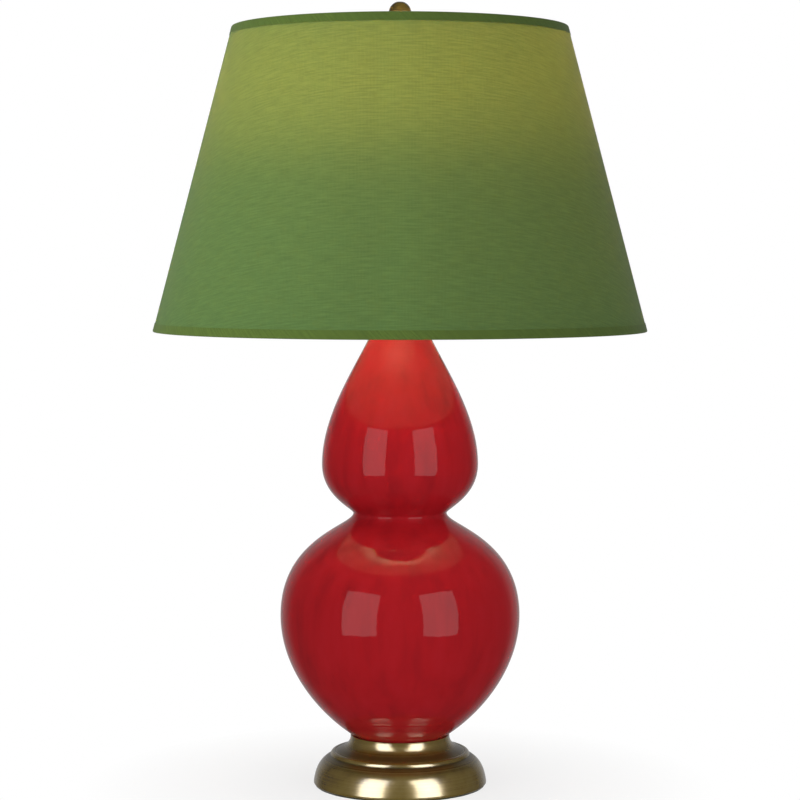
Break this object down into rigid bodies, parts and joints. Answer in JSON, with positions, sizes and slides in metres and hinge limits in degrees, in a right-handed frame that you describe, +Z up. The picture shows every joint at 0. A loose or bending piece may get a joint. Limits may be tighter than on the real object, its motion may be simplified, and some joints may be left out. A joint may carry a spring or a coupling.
{
  "type": "table lamp",
  "caption": "Table lamp with a glazed double gourd body on a stepped brass foot, a tapered green fabric shade on a harp, a turn-knob lampholder and a ball finial.",
  "frame": {"origin": "middle of the felt's underside, on the surface the lamp stands on", "axes": "+Z up along the lamp's axis, -Y the front with the switch's knob, +X the lamp's right side seen from the front"},
  "size_m": [0.4951, 0.495, 0.7874],
  "materials": {
    "felt": "dense wool felt, matte",
    "antique_brass": "antiqued brass, satin lacquer with dark patina",
    "bushing_plastic": "moulded nylon bushing, dark brown",
    "cast_iron": "rough sand casting, unpainted",
    "zinc_steel": "bright zinc-plated steel",
    "gasket_rubber": "soft black sheet rubber",
    "ruby_glaze": "high-gloss ruby red glaze",
    "plated_brass": "brass-plated, polished",
    "fibre_board": "pressed fibre insulating sleeve",
    "phenolic": "black phenolic moulding",
    "aluminium_shell": "drawn aluminium, bright",
    "solder": "tinned contact, dull",
    "black_glass": "black vitrified glass",
    "frosted_glass": "inside-frosted soft white glass",
    "clear_glass": "clear glass stem",
    "tungsten": "drawn wire",
    "green_linen": "plain-weave green cloth with slub yarns",
    "white_styrene": "thin white styrene sheet",
    "green_tape": "darker green bias-cut tape"
  },
  "bodies": {
    "base": {"felt_pad": "felt", "brass_foot": "antique_brass", "cord_bushing": "bushing_plastic", "foot_weight": "cast_iron", "rod_washer": "zinc_steel", "rod_lock_washer": "zinc_steel", "rod_nut": "zinc_steel", "threaded_rod": "zinc_steel", "foot_gasket": "gasket_rubber", "gourd_body": "ruby_glaze", "neck_gasket": "gasket_rubber", "vase_cap": "antique_brass", "neck_spacer": "antique_brass", "harp_saddle": "plated_brass", "holder_cap": "plated_brass", "holder_shell": "plated_brass", "holder_liner": "fibre_board", "holder_insulator": "phenolic", "screw_shell": "aluminium_shell", "centre_contact": "plated_brass", "terminal_screws": "zinc_steel"},
    "switch": {"switch_stem": "zinc_steel", "switch_knob": "phenolic"},
    "bulb": {"bulb_tip": "solder", "bulb_insulator": "black_glass", "bulb_cap": "aluminium_shell", "bulb_glass": "frosted_glass", "bulb_stem": "clear_glass", "bulb_filament": "tungsten"},
    "harp": {"harp_bow": "plated_brass"},
    "ferrule_left": {"harp_ferrule_left": "plated_brass"},
    "ferrule_right": {"harp_ferrule_right": "plated_brass"},
    "stud": {"harp_stud": "plated_brass"},
    "shade": {"shade_cloth": "green_linen", "shade_backing": "white_styrene", "shade_top_wire": "zinc_steel", "shade_bottom_wire": "zinc_steel", "shade_top_trim": "green_tape", "shade_bottom_trim": "green_tape", "shade_hub": "plated_brass", "shade_arms": "plated_brass"},
    "finial": {"finial": "antique_brass"}
  },
  "joints": [
    {"name": "switch_turn", "type": "hinge", "parent": "base", "child": "switch", "pos_m": [0, -0.0207, 0.5268], "axis": [0, -1, 0], "continuous": true},
    {"name": "bulb_lift", "type": "slide", "parent": "base", "child": "bulb", "axis": [0, 0, 1], "range_m": [0, 0.03]},
    {"name": "harp_lift", "type": "slide", "parent": "base", "child": "harp", "axis": [0, 0, 1], "range_m": [0, 0.03]},
    {"name": "ferrule_left_slide", "type": "slide", "parent": "harp", "child": "ferrule_left", "axis": [0, 0, 1], "range_m": [0, 0.01]},
    {"name": "ferrule_right_slide", "type": "slide", "parent": "harp", "child": "ferrule_right", "axis": [0, 0, 1], "range_m": [0, 0.01]},
    {"name": "stud_swivel", "type": "hinge", "parent": "harp", "child": "stud", "pos_m": [0, 0, 0.7411], "axis": [0, 0, 1], "continuous": true},
    {"name": "shade_lift", "type": "slide", "parent": "stud", "child": "shade", "axis": [0, 0, 1], "range_m": [0, 0.3]},
    {"name": "finial_turn", "type": "hinge", "parent": "shade", "child": "finial", "pos_m": [0, 0, 0.752], "axis": [0, 0, 1], "continuous": true}
  ]
}
